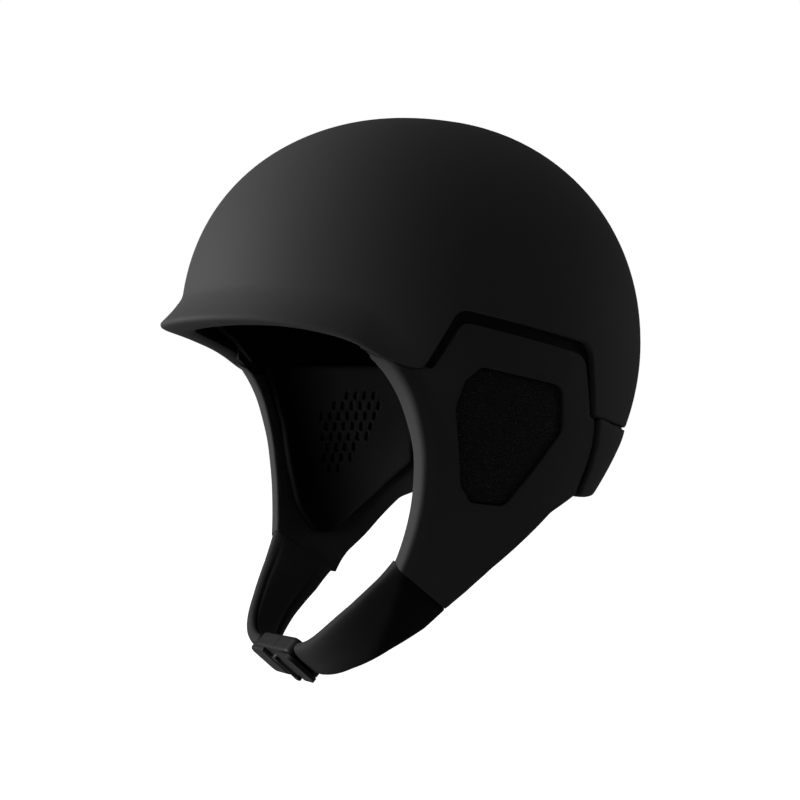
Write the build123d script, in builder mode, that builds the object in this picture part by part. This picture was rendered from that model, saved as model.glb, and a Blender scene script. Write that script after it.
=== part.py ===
from build123d import *
import os
from math import copysign, cos, pi, sin

os.makedirs("parts", exist_ok=True)

# Row frame: +X is the wearer's left, -Y the front, +Z up. The origin is the middle of the
# head cavity, on the widest level of the shell. Everything is in millimetres.

# outer form of the helmet
half_width = 104.0
front_reach = 126.0
back_reach = 121.5
crown_height = 117.0
form_foot = -136.0
plan_roundness = 2.18
side_roundness = 2.22
front_roundness = 2.24
back_roundness = 2.05
narrowing_depth = 172.0
narrowing_roundness = 2.2
nape_tuck = 0.0055
nape_tuck_end = -80.0
nape_slope = 0.55
reach = 160.0

# depths of the layers, counted inwards from the outer form
shell_wall = 3.5
panel_outside = 1.0
mesh_outside = 2.6
mesh_inside = 4.0
liner_outside = 3.8
webbing_outside = 5.2
webbing_inside = 6.8
panel_inside = 8.0
lining_outside = 8.3
liner_inside = 15.0
pad_outside = 15.3
pad_inside = 20.5
nape_outside = -0.9
nape_inside = 8.5
nape_pad_outside = 8.8
nape_pad_inside = 15.0
fit_gap = 0.3
channel_gap = 0.2

# peak: level and front reach of each of its plan sections
peak_side_inset = 0.5
peak_back = 90.0
peak_sections = [(5.0, 136.8), (8.0, 136.3), (10.5, 133.4), (14.0, 130.0), (18.5, 126.6), (25.0, 122.0)]

# studs that fasten each side panel to the shell: (Y, Z) of each
stud_radius = 2.5
stud_outside = 1.8
stud_places = [(-43.5, 0.0), (-24.0, 13.0), (8.0, 6.8), (36.0, 1.2)]
hole_gap = 0.05

# lower rear edge of a side panel: how its cut face leans towards the head, per millimetre of X
foot_points = [(-32, -138), (-11, -115), (24, -84.2), (40.7, -76.9)]
foot_lean = Vector(1.0, -0.42, 0.48)
foot_overrun = 3

# ear opening: ledge under the mesh plate, and the mesh holes
ledge_width = 2.0
mesh_gap = 0.15
mesh_border = 4.5
hole_radius = 1.1
hole_pitch = 5.2
hole_centre = (-4.0, -47.0)
hole_counts = (14, 16)

# ear pad slots
slot_length = 6.0
slot_width = 2.6
slot_turn = 35.0
slot_pitch = 7.5
slot_rows = 6
slot_row_height = 8.5
slot_start = (1.5, -28.0)
slot_row_shift = 0.8

# comfort pads in the liner: outline of each, its corner, and the level of its middle
crown_pad_radii = (46.0, 56.0)
brow_pad_size = (118.0, 26.0, 9.0)
brow_pad_z = 26.0
rear_pad_size = (104.0, 46.0, 12.0)
rear_pad_z = -8.0
side_pad_size = (84.0, 38.0, 12.0)
side_pad_z = 14.0

# nape hinge
hinge_y = 104.0
hinge_z = -50.0
lug_radius = 3.2
lug_width = 11.0
lug_gap = 0.4
lug_slot_size = (8.0, 11.4)
lug_slot_shift = (0.2, 1.5)
pin_radius = 1.25
pin_length = 30.0
running_gap = 0.05

# chin strap: where each half leaves its side panel, on the wearer's left
strap_root = Vector(75.7, -38.7, -118.6)
strap_across = Vector(-0.18, 0.78, -0.60)
strap_outward = Vector(0.878, -0.126, -0.461)
strap_down = Vector(-0.435, -0.61, -0.66)
strap_depth = 6.0
strap_gap = 0.4
# share of the way down each sleeve, its width and depth there, and its shift to the rear
sleeve_sections = [
    (0.0, 41.0, 9.6, 1.8), (0.25, 34.5, 9.2, 2.2), (0.5, 26.5, 8.8, 0.8),
    (0.75, 21.5, 8.4, -0.5), (1.0, 20.0, 6.9, -0.6),
]
sleeve_corner = 3.4
# how far the strap's curve runs straight on from its panel and from the buckle, left and right
root_pulls = {1: 10.0, -1: 17.0}
end_pulls = {1: 50.0, -1: 45.0}
webbing_width = 12.0
webbing_thickness = 1.6
webbing_corner = 0.7
webbing_clearance = 0.6

# buckle
buckle_centre = Vector(1.2, -74.2, -159.4)
buckle_along = Vector(0.992, -0.045, 0.119)
buckle_outward = Vector(0.054, -0.694, -0.713)
buckle_end = 25.0
buckle_width = 22.0
buckle_depth = 9.0
parting_place = 4.0
parting_gap = 0.2
end_corner = 4.0
rim_rounding = 1.6
sleeve_end = 27.0
bar_place = 21.0
bar_radius = 1.3
bar_length = 20.0
loop_gap = 0.05
window_start = 16.6
window_width = 13.0
cut_overrun = 2.0
tooth_height = 2.0
tooth_foot = (14.0, 7.0)
tooth_tip = (11.0, 2.6)
magnet_length = 4.0
magnet_width = 9.0
magnet_depth = 2.0
cover_start = -9.0
cover_end = -31.0
cover_width = 20.5
cover_bottom = 4.4
cover_top = 6.6
tab_pin_radius = 0.9
tab_pin_x = 9.5
tab_pin_z = 6.9
tab_pin_length = 17.8
tab_ear_y = 7.6
tab_ear_z = 6.2
tab_ear_size = (5.0, 2.6, 4.6)
tab_arm_width = 11.8
tab_hub_radius = 1.9
tab_thickness = 2.2
tab_pad_start = 14.5
tab_pad_end = 29.5
tab_pad_width = 19.5


def section_size(height, inset):
    # half width, front reach and back reach of the form at one level
    if height >= 0:
        rise = height / (crown_height - inset)
        return [
            (size - inset) * (1 - rise**power) ** (1 / power)
            for size, power in (
                (half_width, side_roundness),
                (front_reach, front_roundness),
                (back_reach, back_roundness),
            )
        ]
    fall = -height / narrowing_depth
    width = half_width * (1 - fall**narrowing_roundness) ** (1 / narrowing_roundness)
    tucked = nape_tuck * max(height, nape_tuck_end) ** 2 + nape_slope * max(0, nape_tuck_end - height)
    return [width - inset, front_reach - inset, back_reach - tucked - inset]


def half_width_at(y, z, inset):
    # how far the form reaches along X at one place of the side view
    width, front, back = section_size(z, inset)
    share = abs(y) / (back if y > 0 else front)
    return width * (1 - share**plan_roundness) ** (1 / plan_roundness)


def ring(width, front, back, count=20):
    # one rounded plan section, from the wearer's left round by the back, knotted evenly
    points = []
    for step in range(count):
        across, along = cos(2 * pi * step / count), sin(2 * pi * step / count)
        x = width * copysign(abs(across) ** (2 / plan_roundness), across)
        y = copysign(abs(along) ** (2 / plan_roundness), along) * (back if along > 0 else front)
        points.append(Vector(x, y))
    return Edge.make_spline(points, periodic=True, parameters=[step / count for step in range(count + 1)])


def stacked_form(sections):
    # a closed solid through plan sections, each given as (level, half width, front, back)
    with BuildPart() as form:
        for level, width, front, back in sections:
            with BuildSketch(Plane.XY.offset(level)):
                with BuildLine():
                    add(ring(width, front, back))
                make_face()
        loft()
    return form.part


def head_form(inset):
    # the outer form with its surface moved inwards by the inset
    rises = [0.999, 0.992, 0.97, 0.93, 0.86, 0.76, 0.64, 0.5, 0.34, 0.17]
    levels = [rise * (crown_height - inset) for rise in rises]
    levels += [0.0, -20.0, -40.0, -60.0, -80.0, -105.0, form_foot]
    return stacked_form([(level, *section_size(level, inset)) for level in levels])


def side_prism(side, both=True):
    # a side view outline, swept right across the helmet or over the wearer's left half
    with BuildPart() as prism:
        extrude(side, amount=reach, both=both)
    return prism.part


def layer(outer, inner, *prisms, cuts=()):
    # what lies between two forms and inside every prism, less the cuts
    with BuildPart() as piece:
        add(forms[outer])
        for prism in prisms:
            add(prism, mode=Mode.INTERSECT)
        add(forms[inner], mode=Mode.SUBTRACT)
        for cut in cuts:
            add(cut, mode=Mode.SUBTRACT)
    return piece.part


depths = [
    0.0, shell_wall, panel_outside, mesh_outside, mesh_inside, liner_outside,
    webbing_outside, webbing_inside, webbing_outside - channel_gap, webbing_inside + channel_gap,
    panel_inside, lining_outside, liner_inside, pad_outside, pad_inside,
    nape_outside, nape_inside, nape_pad_outside, nape_pad_inside, stud_outside,
]
forms = {depth: head_form(depth) for depth in depths}

# side view of the shell: its lower edge, closed over the crown
with BuildSketch(Plane.YZ) as shell_side:
    with BuildLine():
        brow = Spline((-150, 7.6), (-126, 7.2), (-109, 5.2), (-96.8, 2.4), (-86, -1.0), (-77.4, -5.2),
                      (-65.3, -12.8), (-57, -15.6))
        edge = FilletPolyline(brow @ 1, (-50.2, -16.9), (-33.5, 10.6), (41.5, -4.0), (46.3, -38.2),
                              (64, -41.8), (90, -45), (150, -46), radius=[4, 7, 9, 2, 20, 20])
        Polyline(edge @ 1, (150, 150), (-150, 150), brow @ 0)
    make_face()

# side view of a side panel: rim at the front, its end at the chin strap
with BuildSketch(Plane.YZ) as panel_side:
    with BuildLine():
        rim = Spline((-78, -4.0), (-71.5, -8.8), (-65.3, -13.8), (-60.5, -20.4), (-56.3, -29), (-52.2, -41.6),
                     (-49.3, -53.6), (-48, -66), (-47.8, -78), (-49.1, -88.6), (-52.9, -107.6), (-57, -121))
        foot = FilletPolyline(rim @ 1, (-24, -147), (-4, -123), (30, -92.5), (39.5, -79.5), (41.2, -76),
                              (47.6, -54), (46.9, -40.5), (42.8, -38.6), (37, -9.3), (-31.4, 4.6),
                              (-45.8, -17.6), (-58, -12), radius=[0, 30, 14, 4, 2, 12, 2, 1, 9, 5, 3])
        Line(foot @ 1, rim @ 0)
    make_face()
    add(Pos(0, -fit_gap) * shell_side.sketch_local, mode=Mode.SUBTRACT)

# the region above the foot of a panel, on the middle plane, ready to be swept along the lean
with BuildSketch(Plane.YZ) as foot_side:
    with BuildLine():
        leaned = [
            Vector(y, z) - Vector(foot_lean.Y, foot_lean.Z) * half_width_at(y, z, panel_outside)
            for y, z in foot_points
        ]
        low_end = leaned[0] + (leaned[0] - leaned[1]) * foot_overrun
        rear_end = leaned[3] + (leaned[3] - leaned[2]) * foot_overrun
        FilletPolyline(low_end, leaned[1], leaned[2], rear_end, (300, 300), (-300, 300), (-300, low_end.Y),
                       radius=[30, 14, 1, 1, 1, 1, 1], close=True)
    make_face()

# side view of the band that joins a panel to the shell, tucked in behind the shell's edge
with BuildSketch(Plane.YZ) as band_side:
    with BuildLine():
        Polyline((-73, 4), (-62, -3.5), (-54, -5), (-38, 19.5), (48, 3.5), (54, -30), (54, -37),
                 (44, -38), (40, -40), (0, -30), (-40, -30), (-72.5, -7), close=True)
    make_face()
    for shift in ((0, 0), (0, fit_gap), (fit_gap, fit_gap)):
        add(Pos(*shift) * panel_side.sketch_local, mode=Mode.SUBTRACT)

# side view of the ear opening and of the mesh plate behind it
with BuildSketch(Plane.YZ) as ear_side:
    with BuildLine():
        FilletPolyline((-22.5, -15.4), (23, -23.8), (24.5, -45), (-5, -80), (-23.5, -77.5), (-29.5, -69),
                       (-34.6, -34), (-30.5, -22), radius=[5, 6, 7, 6, 4, 5, 5, 5], close=True)
    make_face()

# side view of the webbing that runs up inside each panel to its first stud
with BuildSketch(Plane.YZ) as anchor_side:
    with BuildLine():
        Polyline((-50.5, -7), (-45.5, 5.5), (-38.5, 8), (-37, -8), (-38.6, -20), (-37, -40), (-35.6, -60),
                 (-34.6, -78), (-34.5, -100), (-36, -136), (-52, -130), (-47.5, -100), (-46.4, -78),
                 (-47.3, -56), (-49, -40), (-51, -24), close=True)
    make_face()

# side view of the ear pad
with BuildSketch(Plane.YZ) as ear_pad_side:
    with BuildLine():
        FilletPolyline((-57, -9), (40.5, -9), (43, -38), (38.5, -68), (15, -86.5), (-17, -108),
                       (-29.5, -106.5), (-38, -92), (-41.5, -68), (-44, -45), (-50.5, -24),
                       radius=[3, 5, 20, 8, 30, 6, 6, 20, 30, 30, 20], close=True)
    make_face()

# side views of the liner: outside above the band, inside down to the ear pads
with BuildSketch(Plane.YZ) as liner_side:
    with BuildLine():
        Polyline((-150, 9.5), (-92, 9.5), (-73.3, 6.5), (-62.2, -2.9), (-54.2, -4.4), (-38.2, 20),
                 (48.4, 4), (54.5, -30), (54.5, -38.3), (150, -38.3), (150, 150), (-150, 150), close=True)
    make_face()
with BuildSketch(Plane.YZ) as lining_side:
    with BuildLine():
        Polyline((-150, 9.5), (-92, 9.5), (-78, 3), (-66, -8.4), (46, -8.4), (56, -20), (56, -38.3),
                 (150, -38.3), (150, 150), (-150, 150), close=True)
    make_face()

# side view of the nape cradle and of its pad
with BuildSketch(Plane.YZ) as nape_side:
    with BuildLine():
        FilletPolyline((150, -48.5), (90, -47.6), (64, -44.4), (48.7, -41), (49.2, -52), (47.5, -63.4),
                       (42.3, -78.2), (60, -79.5), (150, -79.5), radius=[10, 40, 2, 10, 20, 3, 5])
        Line((150, -79.5), (150, -48.5))
    make_face()
with BuildSketch(Plane.YZ) as nape_pad_side:
    with BuildLine():
        FilletPolyline((53, -43), (150, -41), (150, -77), (47, -77), (51.5, -60),
                       radius=[4, 2, 2, 4, 9], close=True)
    make_face()

shell_prism = side_prism(shell_side.sketch)
panel_prism = side_prism(panel_side.sketch, both=False)
foot_prism = extrude(foot_side.sketch, amount=reach, dir=foot_lean)
ear_prism = side_prism(ear_side.sketch, both=False)
anchor_prism = side_prism(anchor_side.sketch, both=False)


def stud_rods(radius):
    # round rods along X at the places of the studs, on the wearer's left
    with BuildPart() as rods:
        with BuildSketch(Plane.YZ):
            with Locations(*stud_places):
                Circle(radius)
        extrude(amount=reach)
    return rods.part


def write(piece, name):
    piece.label = name
    export_step(piece, f"parts/{name}.step")


def write_pair(left_piece, name):
    # a left piece and its mirror image
    write(left_piece, f"{name}_left")
    write(mirror(left_piece, about=Plane.YZ), f"{name}_right")


# outer shell with its peak, blind stud holes and the lug of the nape hinge
with BuildPart() as stud_holes:
    add(forms[stud_outside])
    add(stud_rods(stud_radius + hole_gap), mode=Mode.INTERSECT)
both_stud_holes = stud_holes.part + mirror(stud_holes.part, about=Plane.YZ)
with BuildPart() as outer_shell:
    add(forms[0.0])
    add(stacked_form([
        (level, section_size(level, peak_side_inset)[0], front, peak_back) for level, front in peak_sections
    ]))
    add(shell_prism, mode=Mode.INTERSECT)
    add(forms[shell_wall], mode=Mode.SUBTRACT)
    with BuildSketch(Plane.YZ):
        with Locations((hinge_y, hinge_z)):
            Circle(lug_radius)
        with BuildLine():
            Polyline((100.9, -50), (104.5, -42), (106, -39), (109.6, -39), (109.6, -43), (107, -46.5),
                     (106.6, -50), close=True)
        make_face()
    extrude(amount=lug_width / 2, both=True)
    with BuildSketch(Plane.YZ):
        with Locations((hinge_y, hinge_z)):
            Circle(pin_radius + running_gap)
    extrude(amount=lug_width, both=True, mode=Mode.SUBTRACT)
    add(both_stud_holes, mode=Mode.SUBTRACT)
write(outer_shell.part, "outer_shell")

# webbing anchored inside the left panel, and the channel that it lies in
with BuildSketch(Plane.YZ) as channel_side:
    offset(anchor_side.sketch_local, amount=fit_gap, kind=Kind.INTERSECTION)
webbing_channel = layer(
    webbing_outside - channel_gap, webbing_inside + channel_gap, side_prism(channel_side.sketch, both=False)
)
strap_plane = Plane(strap_root, z_dir=strap_down)
through_rods = stud_rods(stud_radius + hole_gap)
with BuildPart() as strap_anchor:
    add(layer(webbing_outside, webbing_inside, anchor_prism, cuts=[through_rods]))
    split(bisect_by=strap_plane, keep=Keep.BOTTOM)
write_pair(strap_anchor.part, "strap_anchor")

# side panel: ear opening with a ledge for the mesh, cut square to the strap at its end
with BuildSketch(Plane.YZ) as ear_hole:
    offset(ear_side.sketch_local, amount=-ledge_width, kind=Kind.INTERSECTION)
with BuildPart() as mesh_seat:
    add(ear_prism)
    add(forms[mesh_inside], mode=Mode.SUBTRACT)
with BuildPart() as side_panel:
    add(layer(panel_outside, panel_inside, panel_prism, foot_prism, cuts=[webbing_channel, mesh_seat.part]))
    extrude(ear_hole.sketch, amount=reach, mode=Mode.SUBTRACT)
    split(bisect_by=strap_plane, keep=Keep.BOTTOM)
write_pair(side_panel.part, "side_panel")

# band that joins the panel to the shell
panel_band = layer(liner_outside, panel_inside, side_prism(band_side.sketch, both=False),
                   cuts=[webbing_channel, through_rods])
write_pair(panel_band, "panel_band")

# perforated ear mesh
with BuildSketch(Plane.YZ) as mesh_side:
    offset(ear_side.sketch_local, amount=-mesh_gap, kind=Kind.INTERSECTION)
with BuildSketch(Plane.YZ) as hole_field:
    with Locations(hole_centre):
        with HexLocations(hole_pitch / 2, *hole_counts):
            Circle(hole_radius)
with BuildSketch(Plane.YZ) as hole_area:
    offset(ear_side.sketch_local, amount=-mesh_border, kind=Kind.INTERSECTION)
holes = [face for face in hole_field.sketch.faces() if hole_area.sketch.face().is_inside(face.center())]
with BuildPart() as ear_mesh:
    add(layer(mesh_outside, mesh_inside, side_prism(mesh_side.sketch, both=False)))
    extrude(holes, amount=reach, dir=(1, 0, 0), mode=Mode.SUBTRACT)
write_pair(ear_mesh.part, "ear_mesh")

# studs
with BuildPart() as stud_set:
    add(stud_rods(stud_radius))
    add(forms[stud_outside], mode=Mode.INTERSECT)
    add(forms[panel_inside], mode=Mode.SUBTRACT)
write(stud_set.part + mirror(stud_set.part, about=Plane.YZ), "panel_studs")

# impact liner
with BuildPart() as impact_liner:
    add(forms[lining_outside])
    add(side_prism(lining_side.sketch), mode=Mode.INTERSECT)
    add(layer(liner_outside, liner_inside, side_prism(liner_side.sketch)))
    add(forms[liner_inside], mode=Mode.SUBTRACT)
write(impact_liner.part, "impact_liner")

# comfort pads inside the liner
with BuildSketch(Plane.XY) as crown_plan:
    Ellipse(*crown_pad_radii)
with BuildSketch(Plane.XZ) as brow_front:
    with Locations((0, brow_pad_z)):
        RectangleRounded(*brow_pad_size)
with BuildSketch(Plane.XZ) as rear_front:
    with Locations((0, rear_pad_z)):
        RectangleRounded(*rear_pad_size)
with BuildSketch(Plane.YZ) as side_pad_side:
    with Locations((0, side_pad_z)):
        RectangleRounded(*side_pad_size)
write(layer(pad_outside, pad_inside, extrude(crown_plan.sketch, amount=reach)), "crown_pad")
write(layer(pad_outside, pad_inside, extrude(brow_front.sketch, amount=reach)), "brow_pad")
write(layer(pad_outside, pad_inside, extrude(rear_front.sketch, amount=-reach)), "rear_pad")
write_pair(layer(pad_outside, pad_inside, side_prism(side_pad_side.sketch, both=False)), "side_pad")

# ear pad with its slots over the ear opening
with BuildSketch(Plane.YZ) as slot_side:
    for row in range(slot_rows):
        with Locations((slot_start[0] - row * slot_row_shift, slot_start[1] - row * slot_row_height)):
            with GridLocations(slot_pitch, 1, slot_rows - row // 2, 1):
                SlotOverall(slot_length, slot_width, rotation=slot_turn)
ear_pad = layer(lining_outside, liner_inside, side_prism(ear_pad_side.sketch, both=False),
                cuts=[side_prism(slot_side.sketch, both=False)])
write_pair(ear_pad, "ear_pad")

# nape cradle, its pad and the hinge pin
with BuildPart() as nape_cradle:
    add(forms[nape_outside])
    add(side_prism(nape_side.sketch), mode=Mode.INTERSECT)
    add(forms[nape_inside], mode=Mode.SUBTRACT)
    with BuildSketch(Plane.YZ):
        with Locations((hinge_y + lug_slot_shift[0], hinge_z + lug_slot_shift[1])):
            Rectangle(*lug_slot_size)
    extrude(amount=lug_width / 2 + lug_gap, both=True, mode=Mode.SUBTRACT)
    with BuildSketch(Plane.YZ):
        with Locations((hinge_y, hinge_z)):
            Circle(pin_radius)
    extrude(amount=pin_length / 2, both=True, mode=Mode.SUBTRACT)
write(nape_cradle.part, "nape_cradle")
write(layer(nape_pad_outside, nape_pad_inside, side_prism(nape_pad_side.sketch)), "nape_pad")
with BuildPart() as nape_pin:
    with BuildSketch(Plane.YZ):
        with Locations((hinge_y, hinge_z)):
            Circle(pin_radius)
    extrude(amount=pin_length / 2, both=True)
write(nape_pin.part, "nape_pin")

# chin strap halves: each runs along a curve from its side panel to its end of the buckle
buckle_plane = Plane(buckle_centre, x_dir=buckle_along, z_dir=buckle_outward)


def mirrored(vector, side):
    return Vector(vector.X * side, vector.Y, vector.Z)


def strap_sections(side):
    # cutting planes along one half of the strap, each with its share of the way
    root, across, outward, down = (
        mirrored(vector, side) for vector in (strap_root, strap_across, strap_outward, strap_down)
    )
    start = root - outward * strap_depth + down * strap_gap
    end = buckle_centre + buckle_plane.x_dir * sleeve_end * side
    course = Bezier(start, start + down * root_pulls[side],
                    end + buckle_plane.x_dir * end_pulls[side] * side, end, mode=Mode.PRIVATE)
    planes = []
    for share, *size in sleeve_sections:
        turned = across * (1 - share) - buckle_plane.y_dir * share
        planes.append(Plane(course @ share, x_dir=turned, z_dir=course % share))
    return planes


def strap_loft(planes, sizes, corner):
    # a run through rounded sections, each with its width, depth and shift to the rear
    with BuildPart() as run:
        for plane, (width, depth, shift) in zip(planes, sizes):
            with BuildSketch(plane):
                with Locations((shift, 0)):
                    RectangleRounded(width, depth, corner)
        loft()
    return run.part


for side, name in ((1, "left"), (-1, "right")):
    planes = strap_sections(side)
    webbing_sizes = [(webbing_width, webbing_thickness, 0)] * len(planes)
    channel_sizes = [(webbing_width + 2 * channel_gap, webbing_thickness + 2 * channel_gap, 0)] * len(planes)
    with BuildPart() as chin_sleeve:
        add(strap_loft(planes, [size for share, *size in sleeve_sections], sleeve_corner))
        add(strap_loft(planes, channel_sizes, webbing_thickness / 2), mode=Mode.SUBTRACT)
    write(chin_sleeve.part, f"chin_sleeve_{name}")
    with BuildPart() as strap_webbing:
        add(strap_loft(planes, webbing_sizes, webbing_corner))
        with BuildSketch(buckle_plane.offset(-webbing_thickness / 2)):
            with Locations((side * (bar_place + sleeve_end + bar_radius + webbing_clearance) / 2, 0)):
                Rectangle(sleeve_end - bar_place - bar_radius - webbing_clearance, webbing_width)
        extrude(amount=webbing_thickness)
        bar_end = Location((side * bar_place, -webbing_width / 2, 0), (-90, 0, 0))
        with BuildSketch(Plane(buckle_plane.location * bar_end)):
            Circle(bar_radius + loop_gap + webbing_thickness)
            Circle(bar_radius + loop_gap, mode=Mode.SUBTRACT)
        extrude(amount=webbing_width)
    write(strap_webbing.part, f"strap_webbing_{name}")


# buckle, modelled lying flat: X along the strap to the wearer's left, Y to its front edge, Z outwards
def place(piece, name):
    write(buckle_plane.location * piece, name)


def bar_rod(x, z, radius, length):
    with BuildPart() as rod:
        with Locations((x, 0, z)):
            Cylinder(radius, length, rotation=(90, 0, 0))
    return rod.part


def buckle_half(side, start):
    # block from its parting face to its rounded end, with an open window for the webbing
    middle, length = (start + side * buckle_end) / 2, abs(side * buckle_end - start)
    with BuildPart() as half:
        with Locations((middle, 0, 0)):
            Box(length, buckle_width, buckle_depth)
        fillet(half.edges().filter_by(Axis.Z).sort_by(lambda edge: edge.center().X * side)[-2:], end_corner)
        rims = half.faces().filter_by(Axis.Z).edges()
        fillet(rims.filter_by(lambda edge: abs(edge.center().X - start) > 0.5), rim_rounding)
        with Locations((side * (window_start + buckle_end + cut_overrun) / 2, 0, 0)):
            Box(buckle_end + cut_overrun - window_start, window_width, buckle_depth + cut_overrun,
                mode=Mode.SUBTRACT)
        add(bar_rod(side * bar_place, 0, bar_radius, bar_length), mode=Mode.SUBTRACT)
    return half.part


def tooth(extra=0.0):
    # low tapered tooth that keys the two halves, or with extra size the pocket for it
    face_plane = Plane((parting_place + parting_gap, 0, 0), x_dir=(0, 1, 0), z_dir=(-1, 0, 0))
    with BuildPart() as key:
        with BuildSketch(face_plane):
            Rectangle(tooth_foot[0] + extra, tooth_foot[1] + extra)
        with BuildSketch(face_plane.offset(tooth_height + extra / 2)):
            Rectangle(tooth_tip[0] + extra, tooth_tip[1] + extra / 2)
        loft()
    return key.part


def magnet_block(start):
    with BuildPart() as block:
        with Locations((start + magnet_length / 2, 0, 0)):
            Box(magnet_length, magnet_width, magnet_depth)
    return block.part


latch_magnet_place = parting_place + parting_gap - tooth_height
base_magnet_place = latch_magnet_place - fit_gap - magnet_length
# outer cover of the base, which runs on under the end of its sleeve
with BuildPart() as base_cover:
    with Locations(((cover_start + cover_end) / 2, 0, (cover_bottom + cover_top) / 2)):
        Box(cover_start - cover_end, cover_width, cover_top - cover_bottom)
    fillet(base_cover.edges().filter_by(Axis.Z).sort_by(Axis.X)[:2], end_corner)
    fillet(base_cover.faces().sort_by(Axis.Z)[-1].edges(), rim_rounding)
with BuildPart() as buckle_base:
    add(buckle_half(-1, parting_place - parting_gap))
    add(base_cover.part)
    add(tooth(2 * fit_gap), mode=Mode.SUBTRACT)
    add(magnet_block(base_magnet_place), mode=Mode.SUBTRACT)
place(buckle_base.part, "buckle_base")
place(magnet_block(base_magnet_place), "base_magnet")

with BuildPart() as buckle_latch:
    add(buckle_half(1, parting_place + parting_gap))
    add(tooth())
    with Locations((tab_pin_x, tab_ear_y, tab_ear_z), (tab_pin_x, -tab_ear_y, tab_ear_z)):
        Box(*tab_ear_size)
    add(magnet_block(latch_magnet_place), mode=Mode.SUBTRACT)
    add(bar_rod(tab_pin_x, tab_pin_z, tab_pin_radius, tab_pin_length), mode=Mode.SUBTRACT)
place(buckle_latch.part, "buckle_latch")
place(magnet_block(latch_magnet_place), "latch_magnet")
place(bar_rod(-bar_place, 0, bar_radius, bar_length), "base_bar")
place(bar_rod(bar_place, 0, bar_radius, bar_length), "latch_bar")

# release tab on its pin, on the outer face of the latch
with BuildPart() as release_tab:
    add(bar_rod(tab_pin_x, tab_pin_z, tab_hub_radius, tab_arm_width))
    with Locations(((tab_pin_x + tab_pad_end) / 2, 0, tab_pin_z - tab_hub_radius + tab_thickness / 2)):
        Box(tab_pad_end - tab_pin_x, tab_arm_width, tab_thickness)
    with Locations(((tab_pad_start + tab_pad_end) / 2, 0, tab_pin_z - tab_hub_radius + tab_thickness / 2)):
        Box(tab_pad_end - tab_pad_start, tab_pad_width, tab_thickness)
    fillet(release_tab.edges().filter_by(Axis.Z).group_by(Axis.X)[-1], end_corner)
    add(bar_rod(tab_pin_x, tab_pin_z, tab_pin_radius + running_gap, tab_pin_length), mode=Mode.SUBTRACT)
place(release_tab.part, "release_tab")
place(bar_rod(tab_pin_x, tab_pin_z, tab_pin_radius, tab_pin_length), "tab_pin")
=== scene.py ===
import bpy
import math
import numpy as np
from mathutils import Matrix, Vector


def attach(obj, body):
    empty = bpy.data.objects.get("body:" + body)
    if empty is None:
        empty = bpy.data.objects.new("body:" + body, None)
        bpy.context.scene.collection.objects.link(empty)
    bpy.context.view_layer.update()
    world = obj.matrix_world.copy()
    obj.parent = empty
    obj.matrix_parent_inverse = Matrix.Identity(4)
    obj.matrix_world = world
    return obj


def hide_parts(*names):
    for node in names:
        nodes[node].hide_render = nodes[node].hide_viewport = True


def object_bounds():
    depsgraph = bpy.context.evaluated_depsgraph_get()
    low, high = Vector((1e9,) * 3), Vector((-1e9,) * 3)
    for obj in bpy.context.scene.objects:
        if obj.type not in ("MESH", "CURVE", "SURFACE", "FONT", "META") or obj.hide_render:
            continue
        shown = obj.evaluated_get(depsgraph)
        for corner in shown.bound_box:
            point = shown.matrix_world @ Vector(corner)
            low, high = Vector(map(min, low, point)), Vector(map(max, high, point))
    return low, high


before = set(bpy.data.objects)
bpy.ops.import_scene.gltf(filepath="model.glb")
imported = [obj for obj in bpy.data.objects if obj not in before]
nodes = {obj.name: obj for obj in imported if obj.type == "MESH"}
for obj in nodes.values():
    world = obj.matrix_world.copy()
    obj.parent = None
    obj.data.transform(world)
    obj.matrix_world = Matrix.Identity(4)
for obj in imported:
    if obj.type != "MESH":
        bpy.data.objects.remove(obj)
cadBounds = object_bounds()
mm = 0.001
print("frame loaded,", len(nodes), "nodes")

# X is the wearer's left, -Y the front, Z up; lengths below are in millimetres until a mesh is placed
headForm = {
    "halfWidth": 104.0, "frontReach": 126.0, "backReach": 121.5, "crownHeight": 117.0,
    "planRoundness": 2.18, "sideRoundness": 2.22, "frontRoundness": 2.24, "backRoundness": 2.05,
    "narrowingDepth": 172.0, "narrowingRoundness": 2.2, "crownSpacing": 1.1,
    "napeTuck": 0.0055, "napeTuckEnd": -80.0, "napeSlope": 0.55,
}


def levelSize(z, inset):
    # half width, front reach and back reach of the head form at level z, moved inwards by the inset
    f = headForm
    z = np.asarray(z, float)
    above = np.maximum(z, 0)
    rise = np.minimum(above / (f["crownHeight"] - inset), 1.0)
    fall = -np.minimum(z, 0) / f["narrowingDepth"]
    narrow = (1 - fall ** f["narrowingRoundness"]) ** (1 / f["narrowingRoundness"])
    tuck = (f["napeTuck"] * np.clip(z, f["napeTuckEnd"], 0) ** 2
            + f["napeSlope"] * np.maximum(0, f["napeTuckEnd"] - z))

    def dome(size, power):
        return (size - inset) * (1 - rise ** power) ** (1 / power)

    width = np.where(z >= 0, dome(f["halfWidth"], f["sideRoundness"]), f["halfWidth"] * narrow - inset)
    front = np.where(z >= 0, dome(f["frontReach"], f["frontRoundness"]), f["frontReach"] - inset)
    back = np.where(z >= 0, dome(f["backReach"], f["backRoundness"]), f["backReach"] - tuck - inset)
    return width, front, back


def sideX(y, z, inset):
    # half width of the form where the side view has the point (y, z)
    width, front, back = levelSize(z, inset)
    power = headForm["planRoundness"]
    share = np.clip(np.abs(y) / np.where(np.asarray(y) > 0, back, front), 0, 0.999)
    return width * (1 - share ** power) ** (1 / power)


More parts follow.
